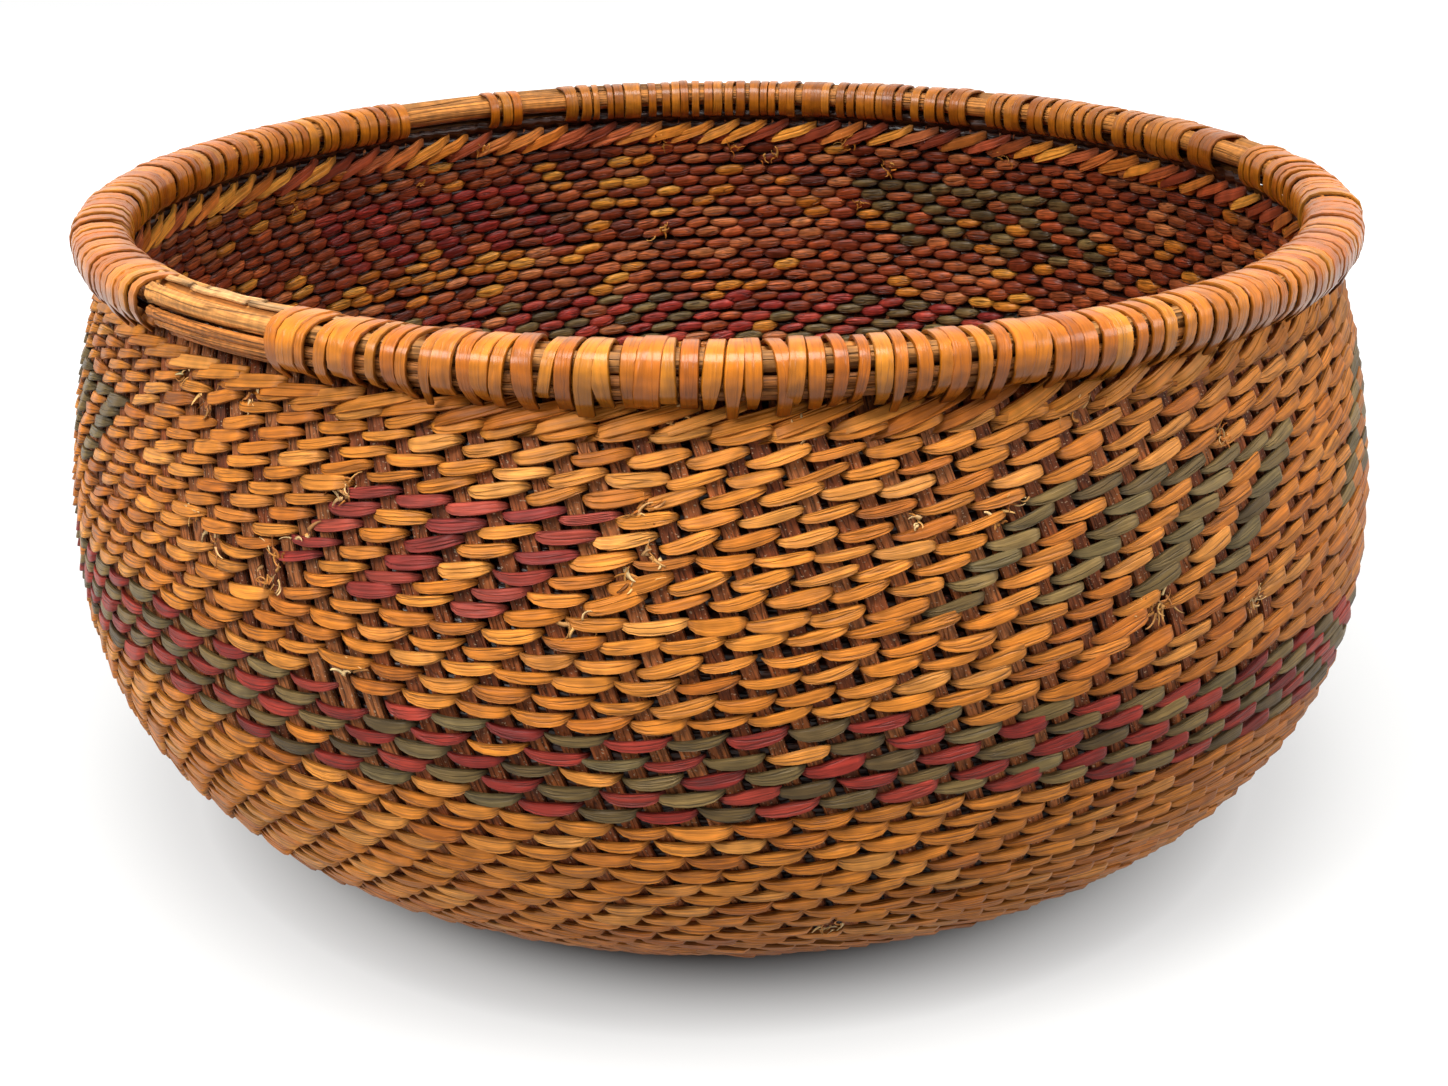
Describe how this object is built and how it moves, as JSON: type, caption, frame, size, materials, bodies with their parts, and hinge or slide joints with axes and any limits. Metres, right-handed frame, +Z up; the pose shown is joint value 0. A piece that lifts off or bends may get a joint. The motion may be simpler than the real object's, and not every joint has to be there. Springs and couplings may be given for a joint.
{
  "type": "twined basket",
  "caption": "Round-bellied basket of twined plant splints over leaning warps, with a dyed band and a rim of rods bound by a strand lashing.",
  "frame": {"origin": "middle of the flat underside of the base, on the surface the basket rests on", "axes": "+Z up along the basket's axis, the pictured front faces -Y, +X to its right"},
  "size_m": [0.295, 0.295, 0.1393],
  "materials": {
    "weft_golden": "split plant stem, golden ochre, fibrous, satin",
    "weft_inside": "bark side of the split stem, red-brown, satin",
    "weft_dyed": "split stem dyed red and olive green, satin",
    "warp_bark": "peeled rod gone brown with age, matte",
    "hoop_wood": "bare rod, straw to tan, long grain",
    "lashing_golden": "split strand, orange gold, worn glossy"
  },
  "bodies": {
    "root": {"starting_rod_lower_1": "warp_bark", "starting_rod_lower_2": "warp_bark", "starting_rod_lower_3": "warp_bark", "starting_rod_lower_4": "warp_bark", "starting_rod_upper_1": "warp_bark", "starting_rod_upper_2": "warp_bark", "starting_rod_upper_3": "warp_bark", "starting_rod_upper_4": "warp_bark", "added_rod_01": "warp_bark", "added_rod_02": "warp_bark", "added_rod_03": "warp_bark", "added_rod_04": "warp_bark", "added_rod_05": "warp_bark", "added_rod_06": "warp_bark", "added_rod_07": "warp_bark", "added_rod_08": "warp_bark", "added_rod_09": "warp_bark", "added_rod_10": "warp_bark", "added_rod_11": "warp_bark", "added_rod_12": "warp_bark", "added_rod_13": "warp_bark", "added_rod_14": "warp_bark", "added_rod_15": "warp_bark", "added_rod_16": "warp_bark", "base_weft_outside": "weft_golden", "base_weft_inside": "weft_inside", "lower_weft_outside": "weft_golden", "lower_weft_inside": "weft_inside", "dyed_band_outside": "weft_dyed", "dyed_band_inside": "weft_dyed", "upper_weft_outside": "weft_golden", "upper_weft_inside": "weft_inside", "border_strand_first": "weft_golden", "border_strand_second": "weft_golden", "rim_hoop_rod": "hoop_wood", "rim_split_rod_lower": "hoop_wood", "rim_split_rod_upper": "hoop_wood", "rim_lashing_front": "lashing_golden", "rim_lashing_right": "lashing_golden", "rim_lashing_back_right": "lashing_golden", "rim_lashing_back": "lashing_golden", "rim_lashing_short": "lashing_golden", "rim_lashing_left": "lashing_golden"}
  },
  "joints": []
}
